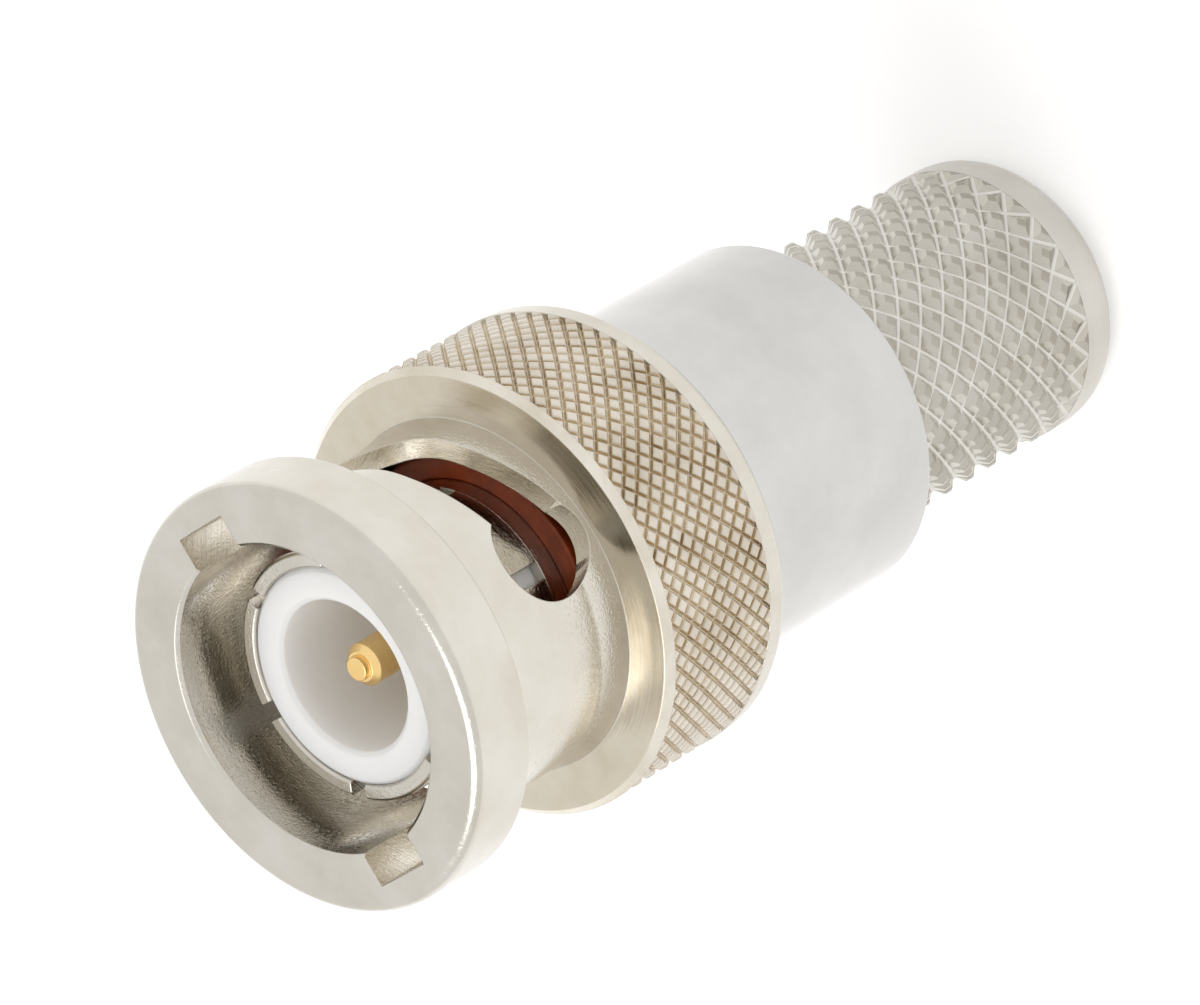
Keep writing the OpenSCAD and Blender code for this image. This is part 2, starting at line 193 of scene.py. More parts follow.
@dataclass
class Draft:
    """A mesh in the making: points in millimetres, faces, and a normal at each corner."""

    points: list[Triple] = field(default_factory=list)
    faces: list[tuple[int, ...]] = field(default_factory=list)
    normals: list[Triple] = field(default_factory=list)
    slots: list[int] = field(default_factory=list)

    def face(self, points: list[Triple], normals: list[Triple], slot: int) -> None:
        """Adds one face with points of its own.

        Args:
            points: its corners, anticlockwise from outside.
            normals: the normal at each corner.
            slot: its material slot.
        """
        first = len(self.points)
        self.points += points
        self.faces.append(tuple(range(first, first + len(points))))
        self.normals += normals
        self.slots.append(slot)

    def turn(self, profile: list[Stretch], segments: int = SEGMENTS) -> None:
        """Adds a profile turned about the axis.

        Args:
            profile: the pieces of the closed profile.
            segments: the number of steps round the axis.
        """
        waves = [(math.cos(2 * math.pi * i / segments), math.sin(2 * math.pi * i / segments))
                 for i in range(segments)]
        rings: dict[Point, list[int]] = {}
        for stretch in profile:
            for r, z in (stretch.start, stretch.end):
                key = (round(r, 5), round(z, 5))
                if key not in rings:
                    first = len(self.points)
                    if r < 1e-6:
                        self.points.append((0.0, 0.0, z))
                        rings[key] = [first] * segments
                    else:
                        self.points += [(r * c, r * s, z) for c, s in waves]
                        rings[key] = list(range(first, first + segments))
        for stretch in profile:
            if max(stretch.start[0], stretch.end[0]) < 1e-6:
                continue
            low = rings[(round(stretch.start[0], 5), round(stretch.start[1], 5))]
            high = rings[(round(stretch.end[0], 5), round(stretch.end[1], 5))]
            (ar, az), (br, bz) = stretch.start_normal, stretch.end_normal
            for i, (c, s) in enumerate(waves):
                j = (i + 1) % segments
                cj, sj = waves[j]
                ring = [(low[i], (ar * c, ar * s, az)), (low[j], (ar * cj, ar * sj, az)),
                        (high[j], (br * cj, br * sj, bz)), (high[i], (br * c, br * s, bz))]
                if low[i] == low[j]:
                    ring.pop(1)
                elif high[i] == high[j]:
                    ring.pop(2)
                self.faces.append(tuple(index for index, _ in ring))
                self.normals += [normal for _, normal in ring]
                self.slots.append(stretch.slot)

    def mesh(self, name: str) -> bpy.types.Mesh:
        """Makes a Blender mesh in metres.

        Args:
            name: the mesh's name.

        Returns:
            The mesh, smooth-shaded by the stored normals.
        """
        mesh = bpy.data.meshes.new(name)
        mesh.from_pydata([(x * MM, y * MM, z * MM) for x, y, z in self.points], [], self.faces)
        mesh.polygons.foreach_set("use_smooth", [True] * len(self.faces))
        mesh.polygons.foreach_set("material_index", self.slots)
        mesh.normals_split_custom_set(self.normals)
        return mesh

    def piece(self, name: str, materials: list[bpy.types.Material]) -> bpy.types.Object:
        """Makes a Blender object and puts it in the scene.

        Args:
            name: the piece's name.
            materials: its materials, by slot.

        Returns:
            The object, at the origin.
        """
        obj = bpy.data.objects.new(name, self.mesh(name))
        bpy.context.scene.collection.objects.link(obj)
        for material in materials:
            obj.data.materials.append(material)
        return obj


def cut(body: bpy.types.Object, cutter: bpy.types.Object) -> None:
    """Subtracts one object from another and drops the cutter.

    Args:
        body: the object that is cut.
        cutter: a closed object whose faces carry the slot of the cut walls.
    """
    modifier = body.modifiers.new("cut", "BOOLEAN")
    modifier.operation = "DIFFERENCE"
    modifier.solver = "EXACT"
    modifier.use_self = True
    modifier.object = cutter
    shape = bpy.data.meshes.new_from_object(body.evaluated_get(bpy.context.evaluated_depsgraph_get()))
    body.modifiers.remove(modifier)
    body.data = shape
    bpy.data.objects.remove(cutter)


def repair_normals(mesh: bpy.types.Mesh, profile: list[Stretch], cut_slot: int) -> list[Triple]:
    """Works out corner normals for a turned mesh after it was cut.

    Args:
        mesh: the cut mesh, in metres.
        profile: the profile that it was turned from.
        cut_slot: the slot of the faces left by cutters, which are smoothed by angle.

    Returns:
        A normal for each corner of each face.
    """
    mesh.set_sharp_from_angle(angle=math.radians(35))
    corners = np.empty(len(mesh.loops) * 3)
    mesh.corner_normals.foreach_get("vector", corners)
    corners = corners.reshape(-1, 3)
    places = np.empty(len(mesh.vertices) * 3)
    mesh.vertices.foreach_get("co", places)
    places = places.reshape(-1, 3) / MM
    starts = np.array([s.start for s in profile])
    spans = np.array([s.end for s in profile]) - starts
    sizes = np.maximum((spans ** 2).sum(axis=1), 1e-12)
    first = np.array([s.start_normal for s in profile])
    last = np.array([s.end_normal for s in profile])
    for face in mesh.polygons:
        if face.material_index == cut_slot:
            continue
        x, y, z = face.center / MM
        r = math.hypot(x, y) or 1e-9
        normal = np.array([(face.normal.x * x + face.normal.y * y) / r, face.normal.z])
        share = np.clip((((r, z) - starts) * spans).sum(axis=1) / sizes, 0, 1)
        gap = np.hypot(*(starts + share[:, None] * spans - (r, z)).T)
        facing = ((first + last) / 2) @ normal
        best = int(np.argmin(gap + np.where(facing > 0.6, 0, 10)))
        for loop in face.loop_indices:
            px, py, pz = places[mesh.loops[loop].vertex_index]
            pr = math.hypot(px, py) or 1e-9
            along = float(np.clip((((pr, pz) - starts[best]) * spans[best]).sum() / sizes[best], 0, 1))
            nr, nz = unit(*(first[best] * (1 - along) + last[best] * along))
            corners[loop] = (nr * px / pr, nr * py / pr, nz)
    return [tuple(n) for n in corners]


@dataclass(frozen=True)
class Knurl:
    """A band of diamonds left between two sets of V grooves with rounded bottoms."""

    radius: float
    cut: float
    bottom: float
    top: float
    starts: int
    rows: int
    flat: float        # share of a diamond left flat
    soften: float      # share rounded off between flat and flank
    valley: float      # share taken by the groove's rounded bottom
    crown: float       # how far a flat's edges lean outwards, as a slope
    wear: float        # how much diamonds differ
    fade: float        # length over which the grooves run out at the bottom
    slots: tuple[int, int, int]    # material slots of flats, flanks and groove bottoms

    def build(self, draft: Draft) -> None:
        """Adds the band to a draft, with small differences from diamond to diamond.

        Args:
            draft: the mesh that gets the band.
        """
        dice = random.Random(self.starts)
        step, pitch = 2 * math.pi / self.starts, (self.top - self.bottom) / self.rows
        reach = [(-step / 2, 0.0), (0.0, -pitch), (step / 2, 0.0), (0.0, pitch)]
        slope = self.cut / (1 - self.valley - self.flat)
        levels = ((1.0, self.cut), (1 - self.valley, self.cut * 0.97),
                  (self.flat + self.soften, slope * self.soften), (self.flat - self.soften, 0.0))
        for j in range(self.rows + 1):
            for i in range(self.starts):
                a, z = (i + (j % 2) / 2) * step, self.bottom + j * pitch
                grow, sink = 1 + dice.uniform(-self.wear, self.wear), dice.uniform(0, self.wear) * self.cut * 0.3
                lean = (dice.uniform(-self.wear, self.wear) * 0.15, dice.uniform(-self.wear, self.wear) * 0.15)
                rings = []
                for level, (share, depth) in enumerate(levels):
                    size = share * (grow if level > 1 else 1)
                    rings.append([self.spot(a + u * size, z + v * size, depth + (sink if level > 1 else 0))
                                  for u, v in reach])
                self.dress(draft, rings, a, lean, j)

    def spot(self, a: float, z: float, depth: float) -> Triple:
        """Finds a point of the band, kept between its two ends.

        Args:
            a: its angle, in radians.
            z: its height.
            depth: how deep it lies below the band's radius.

        Returns:
            The point.
        """
        z = min(max(z, self.bottom), self.top)
        if self.fade:
            depth *= min(1.0, (z - self.bottom) / self.fade)
        r = self.radius - depth
        return (r * math.cos(a), r * math.sin(a), z)

    def dress(self, draft: Draft, rings: list[list[Triple]], a: float, lean: Point, row: int) -> None:
        """Adds the faces of one diamond.

        Args:
            draft: the mesh that gets them.
            rings: its foot, the foot and top of its flanks, and its flat, four corners each.
            a: the angle of its middle.
            lean: how far its flat leans round and along the axis.
            row: its row, where the end rows are half diamonds.
        """
        out = Vector((math.cos(a), math.sin(a), 0))
        round_way, up = Vector((-math.sin(a), math.cos(a), 0)), Vector((0, 0, 1))
        swells = (-round_way, -up, round_way, up)
        tops = []
        for (x, y, _), swell in zip(rings[3], swells):
            n = Vector((x, y, 0)).normalized() + (lean[0] * round_way + lean[1] * up) + self.crown * swell
            tops.append(tuple(n.normalized()))
        feet = [tuple(Vector((x, y, 0)).normalized()) for x, y, _ in rings[0]]
        keep = [k for k in range(4) if not ((row == 0 and k == 1) or (row == self.rows and k == 3))]
        draft.face([rings[3][k] for k in keep], [tops[k] for k in keep], self.slots[0])
        for k in range(4):
            if (row == 0 and k in (0, 1)) or (row == self.rows and k in (2, 3)):
                continue
            m = (k + 1) % 4
            low_a, low_b = Vector(rings[1][k]), Vector(rings[1][m])
            flank = (low_b - low_a).cross(Vector(rings[2][k]) - low_a).normalized()
            side = tuple(flank if flank.dot(out) > 0 else -flank)
            draft.face([rings[0][k], rings[0][m], rings[1][m], rings[1][k]],
                       [feet[k], feet[m], side, side], self.slots[2])
            draft.face([rings[1][k], rings[1][m], rings[2][m], rings[2][k]], [side] * 4, self.slots[1])
            draft.face([rings[2][k], rings[2][m], rings[3][m], rings[3][k]],
                       [side, side, tops[m], tops[k]], self.slots[0])


# --------------------------------------------------------------------- finishes


@dataclass(frozen=True)
class Metal:
    """A plated metal, turned, milled, polished or stamped."""

    name: str
    colour: str
    stain: str
    roughness: float
    rough_swing: float
    mark_pitch: float      # spacing of the tool's marks, mm
    mark_height: float     # height of the tool's marks, mm
    mark_run: float        # how far round a mark goes before it changes, mm
    grain: float = 0.12    # size of the plating's orange peel, mm
    grain_height: float = 0.0002
    scratch: float = 0.0   # height of fine scratches, mm
    pit: float = 0.0       # depth of the small dents that glint, mm
    edge: float = 0.0      # radius of the worn edge, mm
    metallic: float = 1.0

    def material(self) -> bpy.types.Material:
        """Builds the node material.

        Returns:
            The material, named for the metal.
        """
        mat = bpy.data.materials.new(self.name)
        mat.use_nodes = True
        tree = mat.node_tree
        tree.nodes.clear()
        place = add(tree, "ShaderNodeTexCoord").outputs["Object"]
        flat = add(tree, "ShaderNodeVectorMath", {"operation": "MULTIPLY"}, {0: place, 1: (1, 1, 0)})
        radius = add(tree, "ShaderNodeVectorMath", {"operation": "LENGTH"}, {0: flat.outputs[0]})
        parts = add(tree, "ShaderNodeSeparateXYZ", None, {0: place})
        across = add(tree, "ShaderNodeMath", {"operation": "MULTIPLY_ADD"},
                     {0: radius.outputs["Value"], 1: FACE_SHARE, 2: parts.outputs["Z"]})
        cross_scale = 1 / (self.mark_pitch * MM)
        run_scale = 1 / (self.mark_run * MM)
        lane = add(tree, "ShaderNodeMath", {"operation": "MULTIPLY"}, {0: across.outputs[0], 1: cross_scale})
        spread = add(tree, "ShaderNodeVectorMath", {"operation": "SCALE"}, {0: flat.outputs[0], "Scale": run_scale})
        split = add(tree, "ShaderNodeSeparateXYZ", None, {0: spread.outputs[0]})
        lanes = add(tree, "ShaderNodeCombineXYZ", None,
                    {0: split.outputs["X"], 1: split.outputs["Y"], 2: lane.outputs[0]})
        marks = add(tree, "ShaderNodeTexNoise", None,
                    {"Vector": lanes.outputs[0], "Scale": 1.0, "Detail": 3.0, "Roughness": 0.65})
        peel = add(tree, "ShaderNodeTexNoise", None,
                   {"Vector": place, "Scale": 1 / (self.grain * MM), "Detail": 3.0, "Roughness": 0.6})
        cloud = add(tree, "ShaderNodeTexNoise", None,
                    {"Vector": place, "Scale": 1 / (STAIN_SIZE * MM), "Detail": 4.0, "Roughness": 0.6})
        tone = add(tree, "ShaderNodeMapRange", None,
                   {"Value": cloud.outputs["Fac"], "From Min": 0.35, "From Max": 0.75})
        tint = add(tree, "ShaderNodeMix", {"data_type": "RGBA"},
                   {"Factor": tone.outputs[0], 6: linear(self.colour), 7: linear(self.stain)})
        rough = add(tree, "ShaderNodeMapRange", None,
                    {"Value": marks.outputs["Fac"], "From Min": 0.3, "From Max": 0.7,
                     "To Min": max(0.02, self.roughness - self.rough_swing),
                     "To Max": self.roughness + self.rough_swing})
        normal_in: dict = {}
        if self.edge:
            soft = add(tree, "ShaderNodeBevel", {"samples": 4}, {"Radius": self.edge * MM})
            normal_in = {"Normal": soft.outputs[0]}
        grain = add(tree, "ShaderNodeBump", None,
                    {"Strength": 1.0, "Distance": self.grain_height * MM, "Height": peel.outputs["Fac"], **normal_in})
        bump = add(tree, "ShaderNodeBump", None,
                   {"Strength": 1.0, "Distance": self.mark_height * MM, "Height": marks.outputs["Fac"],
                    "Normal": grain.outputs[0]})
        if self.scratch:
            # Fine scratches run round the body, a few millimetres long and 0.03 mm wide
            thin = add(tree, "ShaderNodeCombineXYZ", None,
                       {0: split.outputs["X"], 1: split.outputs["Y"],
                        2: add(tree, "ShaderNodeMath", {"operation": "MULTIPLY"},
                               {0: across.outputs[0], 1: 1 / (SCRATCH_GAP * MM)}).outputs[0]})
            lines = add(tree, "ShaderNodeTexNoise", None,
                        {"Vector": thin.outputs[0], "Scale": 1.0, "Detail": 1.0, "Roughness": 0.4})
            keep = add(tree, "ShaderNodeMapRange", None,
                       {"Value": lines.outputs["Fac"], "From Min": 0.66, "From Max": 0.74})
            bump = add(tree, "ShaderNodeBump", None,
                       {"Strength": 1.0, "Distance": self.scratch * MM, "Height": keep.outputs[0],
                        "Normal": bump.outputs[0]})
        if self.pit:
            # Dents are about 0.05 mm wide and a tenth or two of a millimetre apart
            dents = add(tree, "ShaderNodeTexNoise", None,
                        {"Vector": place, "Scale": 1 / (DENT_GAP * MM), "Detail": 2.0, "Roughness": 0.5})
            deep = add(tree, "ShaderNodeMapRange", None,
                       {"Value": dents.outputs["Fac"], "From Min": 0.5, "From Max": 0.8})
            bump = add(tree, "ShaderNodeBump", {"invert": True},
                       {"Strength": 1.0, "Distance": self.pit * MM, "Height": deep.outputs[0],
                        "Normal": bump.outputs[0]})
        shader = add(tree, "ShaderNodeBsdfPrincipled", None,
                     {"Base Color": tint.outputs[2], "Metallic": self.metallic,
                      "Roughness": rough.outputs[0], "Normal": bump.outputs[0]})
        add(tree, "ShaderNodeOutputMaterial", None, {"Surface": shader.outputs[0]})
        return mat


@dataclass(frozen=True)
class Soft:
    """A plastic or rubber, turned or moulded."""

    name: str
    colour: str
    shade: str
    roughness: float
    ior: float
    grain: float           # size of the surface's grain, mm
    grain_height: float    # height of the grain, mm
    glow: float = 0.0      # weight of light scattered under the surface
    reach: float = 1.0     # how far that light goes, mm

    def material(self) -> bpy.types.Material:
        """Builds the node material.

        Returns:
            The material, named for the plastic or rubber.
        """
        mat = bpy.data.materials.new(self.name)
        mat.use_nodes = True
        tree = mat.node_tree
        tree.nodes.clear()
        place = add(tree, "ShaderNodeTexCoord").outputs["Object"]
        cloud = add(tree, "ShaderNodeTexNoise", None,
                    {"Vector": place, "Scale": 1 / (SHADE_SIZE * MM), "Detail": 4.0, "Roughness": 0.6})
        tone = add(tree, "ShaderNodeMapRange", None,
                   {"Value": cloud.outputs["Fac"], "From Min": 0.3, "From Max": 0.7})
        tint = add(tree, "ShaderNodeMix", {"data_type": "RGBA"},
                   {"Factor": tone.outputs[0], 6: linear(self.colour), 7: linear(self.shade)})
        grain = add(tree, "ShaderNodeTexNoise", None,
                    {"Vector": place, "Scale": 1 / (self.grain * MM), "Detail": 4.0, "Roughness": 0.6})
        rough = add(tree, "ShaderNodeMapRange", None,
                    {"Value": grain.outputs["Fac"], "From Min": 0.3, "From Max": 0.7,
                     "To Min": self.roughness - 0.05, "To Max": self.roughness + 0.07})
        bump = add(tree, "ShaderNodeBump", None,
                   {"Strength": 1.0, "Distance": self.grain_height * MM, "Height": grain.outputs["Fac"]})
        shader = add(tree, "ShaderNodeBsdfPrincipled", None,
                     {"Base Color": tint.outputs[2], "Roughness": rough.outputs[0], "IOR": self.ior,
                      "Normal": bump.outputs[0], "Subsurface Weight": self.glow,
                      "Subsurface Radius": (1.0, 0.97, 0.93), "Subsurface Scale": self.reach * MM})
        add(tree, "ShaderNodeOutputMaterial", None, {"Surface": shader.outputs[0]})
        return mat


class Finish(Enum):
    """The finishes of the plug's pieces."""

    # Nickel-plated brass straight off the lathe: satin, with fine rings and specks
    TURNED = Metal("Nickel_Plated_Brass_Turned", "#D1CDC4", "#C5BFB4", 0.18, 0.06, 0.09, 0.0008, 6.0,
                   0.11, 0.0022, edge=0.05, pit=0.005)
    # The same on a faced shoulder, where the tool's rings stand out and spread the light. Real rings
    # are about 0.07 mm apart, which is too fine to show, so they are drawn twice as coarse
    FACED = Metal("Nickel_Plated_Brass_Faced", "#D8D0C0", "#C8BEAA", 0.2, 0.06, 0.13, 0.008, 9.0,
                  0.12, 0.0006, edge=0.05)
    # The same in milled slots: the cutter's lines run round, and the light sparkles
    MILLED = Metal("Nickel_Plated_Brass_Milled", "#E6E0D4", "#CFC6B2", 0.25, 0.08, 0.06, 0.0035, 1.6,
                   0.11, 0.009, edge=0.05)
    # Brass polished before plating: smooth and cool, with hairline scratches and small dents
    POLISHED = Metal("Nickel_Plated_Brass_Polished", "#C9C8C6", "#BFBEBC", 0.1, 0.03, 0.3, 0.0006, 9.0,
                     0.16, 0.0004, scratch=0.0022, pit=0.0015)
    # Tumbled plate on the grip's plain end: soft, with no sharp mirror in it
    TUMBLED = Metal("Nickel_Plated_Brass_Tumbled", "#D1CEC8", "#C5C1B9", 0.36, 0.05, 0.2, 0.001, 4.0)
    # Bright plate on the small flats of a cut knurl: they mirror what they face. Their dark colour is painted
    # reflection, standing in for the dark reflection that the flats show
    KNURLED = Metal("Nickel_Plated_Brass_Knurled_Painted_Dark_Reflection", "#ADA89E", "#979186", 0.14, 0.04, 0.15, 0.0008, 1.5)
    # Flanks of the grip's cut knurl: plain pale metal
    FLANK = Metal("Nickel_Plated_Brass_Flank", "#C6C2B9", "#B2ADA1", 0.24, 0.04, 0.25, 0.0004, 1.5)
    # Bottoms of the grip's grooves: matt, with a pale colour that is painted highlight, so they read as pale lines
    GROOVE = Metal("Nickel_Plated_Brass_Groove_Painted_Highlight", "#EFEDE8", "#E0DCD4", 0.45, 0.06, 0.12, 0.0006, 1.5,
                   metallic=0.25)
    # A knurl rolled in by a wheel: its flats are slightly crowned, matt and warm. Their pale, half-metallic colour is
    # partly the plate's own tone and partly painted light that brightens the flats
    ROLLED = Metal("Nickel_Plated_Brass_Rolled", "#DCD4C7", "#BDB19F", 0.3, 0.08, 0.12, 0.0015, 1.5,
                   metallic=0.5)
    # The rolled knurl's flanks, darker and warmer than the flats: painted shade that draws the knurl's dark brown
    # lines
    ROLLED_FLANK = Metal("Nickel_Plated_Brass_Rolled_Flank_Painted_Shade", "#CBBCA3", "#AE9A7A", 0.25, 0.06, 0.12, 0.001,
                         1.5, metallic=0.95)
    # The rolled grooves' bottoms, pressed by the wheel: matt, with a pale colour that is painted highlight, so they
    # read as pale lines
    ROLLED_GROOVE = Metal("Nickel_Plated_Brass_Rolled_Groove_Painted_Highlight", "#D8CDBB", "#BFB198", 0.4, 0.06, 0.12, 0.001,
                          1.5, metallic=0.4)
    # Gold plate over machined brass: pale warm yellow, slightly satin
    GOLD = Metal("Gold_Plate_Machined", "#F8D898", "#EEC47C", 0.24, 0.06, 0.06, 0.0008, 2.0, edge=0.03)
    # Cold-rolled spring steel: grey, with rolling marks
    SPRING = Metal("Spring_Steel_Rolled", "#BDBAB4", "#A8A49C", 0.3, 0.08, 0.1, 0.001, 4.0)
    # Turned PTFE: waxy white that lets light deep in
    PTFE = Soft("PTFE_Turned", "#FFFFFE", "#FBFAF8", 0.42, 1.35, 0.12, 0.0008, 0.9)
    # Moulded silicone rubber: brick red with a soft gloss
    SILICONE = Soft("Silicone_Rubber_Moulded", "#9A3E10", "#5A2105", 0.36, 1.41, 0.2, 0.003, 0.0)


class Bench:
    """Makes each finish's material once and hands it out."""

    def __init__(self) -> None:
        """Starts with no material made."""
        self.made: dict[Finish, bpy.types.Material] = {}

    def get(self, finish: Finish) -> bpy.types.Material:
        """Returns the finish's material, made on first use."""
        if finish not in self.made:
            self.made[finish] = finish.value.material()
        return self.made[finish]


# ----------------------------------------------------------------------- pieces


@dataclass
class CouplingNut:
    """The nut: a flange, a slotted barrel and a knurled collar."""

    rear: float = 20.24
    front: float = 33.8
    bore: float = 4.88
    lip_bore: float = 4.05
    lip_front: float = 21.44
    barrel: float = 5.5
    flange: float = 6.8
    flange_rear: float = 31.55
    flare_front: float = 26.8
    flare: float = 5.68
    collar: float = 7.25
    collar_front: float = 25.7
    knurl_top: float = 25.45
    knurl_bottom: float = 21.04
    fine_cut: float = 0.13
    key_width: float = 2.2
    key_reach: float = 5.85
    key_depth: float = 4.8
    lock_angle: float = 86.0
    lock_depth: float = 6.25
    lock_d: float = 3.32
    ramp_width: float = 2.4
    # Share of the turn from groove to hole, and share of the climb made there
    ramp: tuple[Point, ...] = ((0, 0.07), (0.15, 0.39), (0.26, 0.63), (0.34, 0.7), (0.53, 0.75),
                               (0.65, 0.8), (0.84, 0.9), (1, 0.99))

    def profile(self) -> list[Stretch]:
        """Draws the nut's turned profile, with the knurl's bed sunk below it.

        Returns:
            The pieces of the closed profile.
        """
        turned, faced, milled = 0, 1, 2
        bed = self.collar - self.fine_cut - 0.03
        return stretches([
            Corner(self.lip_bore, self.rear, 0.1, turned),
            Corner(self.collar, self.rear, 0.35, turned),
            Corner(self.collar, self.knurl_bottom, 0.03, turned),
            Corner(bed, self.knurl_bottom, 0, turned),
            Corner(bed, self.knurl_top, 0, turned),
            Corner(self.collar - 0.01, self.knurl_top, 0, milled),
            Corner(7.0, self.collar_front, 0.04, faced),
            Corner(self.flare, self.collar_front, 0.02, turned),
            Corner(self.barrel, self.flare_front, 1.2, turned),
            Corner(self.barrel, self.flange_rear, 0.05, turned),
            Corner(self.flange, self.flange_rear, 0.06, turned),
            Corner(self.flange, self.front, 0.35, turned),
            Corner(self.bore + 0.12, self.front, 0.03, turned),
            Corner(self.bore, self.front - 0.12, 0.03, turned),
            Corner(self.bore, self.lip_front, 0, turned),
            Corner(self.lip_bore, self.lip_front, 0, turned)])

    def climb(self, share: float) -> float:
        """Finds the depth of the ramp's rear wall, on a smooth curve through its points.

        Args:
            share: the share of the turn from groove to hole.

        Returns:
            The depth below the nut's front.
        """
        turns, climbs = zip(*self.ramp)
        k = min(max(int(np.searchsorted(turns, share)) - 1, 0), len(turns) - 2)
        gap = turns[k + 1] - turns[k]
        slopes = np.gradient(climbs, turns)
        u = (share - turns[k]) / gap
        value = ((2 * u ** 3 - 3 * u ** 2 + 1) * climbs[k] + (u ** 3 - 2 * u ** 2 + u) * gap * slopes[k]
                 + (3 * u ** 2 - 2 * u ** 3) * climbs[k + 1] + (u ** 3 - u ** 2) * gap * slopes[k + 1])
        return self.key_depth + float(value) * (self.lock_depth + self.lock_d / 2 - self.key_depth)

    def cutters(self) -> list[Draft]:
        """Builds what is cut out of the nut on its two sides.

        Returns:
            Closed drafts of the entry grooves, the ramps and the locking holes.
        """
        grooves, ramps, holes = Draft(), Draft(), Draft()
        inner, outer, steps = 3.85, 6.1, 60
        for side in (0.0, math.pi):
            self.loft(grooves, side, [
                [(3.0, y, self.front - self.key_depth), (self.key_reach, y, self.front - self.key_depth),
                 (self.key_reach, y, self.front + 1), (3.0, y, self.front + 1)]
                for y in (-self.key_width / 2, self.key_width / 2)])
            sections = []
            for k in range(steps + 1):
                share = 1 - k / steps
                a, back = -math.radians(self.lock_angle * share), self.climb(share)
                sections.append([(r * math.cos(a), r * math.sin(a), self.front - depth)
                                 for r, depth in ((inner, back), (outer, back), (outer, back - self.ramp_width),
                                                  (inner, back - self.ramp_width))])
            self.loft(ramps, side, sections)
            ring = []
            for x in (outer, inner):
                ring.append([])
                for k in range(72):
                    a = 2 * math.pi * k / 72
                    y, z = self.lock_d / 2 * math.cos(a), self.lock_d / 2 * math.sin(a)
                    turn = -math.radians(self.lock_angle)
                    ring[-1].append((x * math.cos(turn) - y * math.sin(turn),
                                     x * math.sin(turn) + y * math.cos(turn),
                                     self.front - self.lock_depth + z))
            self.loft(holes, side, ring)
        return [grooves, ramps, holes]

    def loft(self, draft: Draft, turn: float, sections: list[list[Triple]]) -> None:
        """Adds a closed skin through matching sections, turned about the axis.

        Args:
            draft: the mesh that gets the skin.
            turn: the turn about the axis, in radians.
            sections: closed rings of the same number of points.
        """
        c, s = math.cos(turn), math.sin(turn)
        first, size = len(draft.points), len(sections[0])
        for section in sections:
            draft.points += [(x * c - y * s, x * s + y * c, z) for x, y, z in section]
        faces = [tuple(first + k for k in range(size)),
                 tuple(first + (len(sections) - 1) * size + k for k in range(size))[::-1]]
        for j in range(len(sections) - 1):
            for k in range(size):
                a, b = first + j * size + k, first + j * size + (k + 1) % size
                faces.append((a, a + size, b + size, b))
        draft.faces += faces
        draft.slots += [2] * len(faces)

    def build(self, bench: Bench) -> bpy.types.Object:
        """Builds the nut as one piece.

        Args:
            bench: gives the materials.

        Returns:
            The nut's object.
        """
        profile = self.profile()
        blank = Draft()
        blank.turn(profile)
        body = blank.piece("blank", [])
        for number, draft in enumerate(self.cutters()):
            mesh = bpy.data.meshes.new("cutter")
            mesh.from_pydata([(x * MM, y * MM, z * MM) for x, y, z in draft.points], [], draft.faces)
            mesh.polygons.foreach_set("material_index", draft.slots)
            cutter = bpy.data.objects.new(f"cutter_{number}", mesh)
            bpy.context.scene.collection.objects.link(cutter)
            cut(body, cutter)
        mesh = body.data
        whole = Draft(
            [tuple(v.co / MM) for v in mesh.vertices],
            [tuple(p.vertices) for p in mesh.polygons],
            repair_normals(mesh, profile, 2),
            [p.material_index for p in mesh.polygons])
        bpy.data.objects.remove(body)
        Knurl(self.collar - 0.01, self.fine_cut, self.knurl_bottom, self.knurl_top, 68, 14,
              0.6, 0.1, 0.1, 0.2, 0.12, 0.0, (3, 4, 5)).build(whole)
        piece = whole.piece("coupling_nut_dressed", [
            bench.get(f) for f in (Finish.TURNED, Finish.FACED, Finish.MILLED, Finish.ROLLED,
                                   Finish.ROLLED_FLANK, Finish.ROLLED_GROOVE)])
        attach(piece, "nut")
        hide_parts("coupling_nut")
        return piece


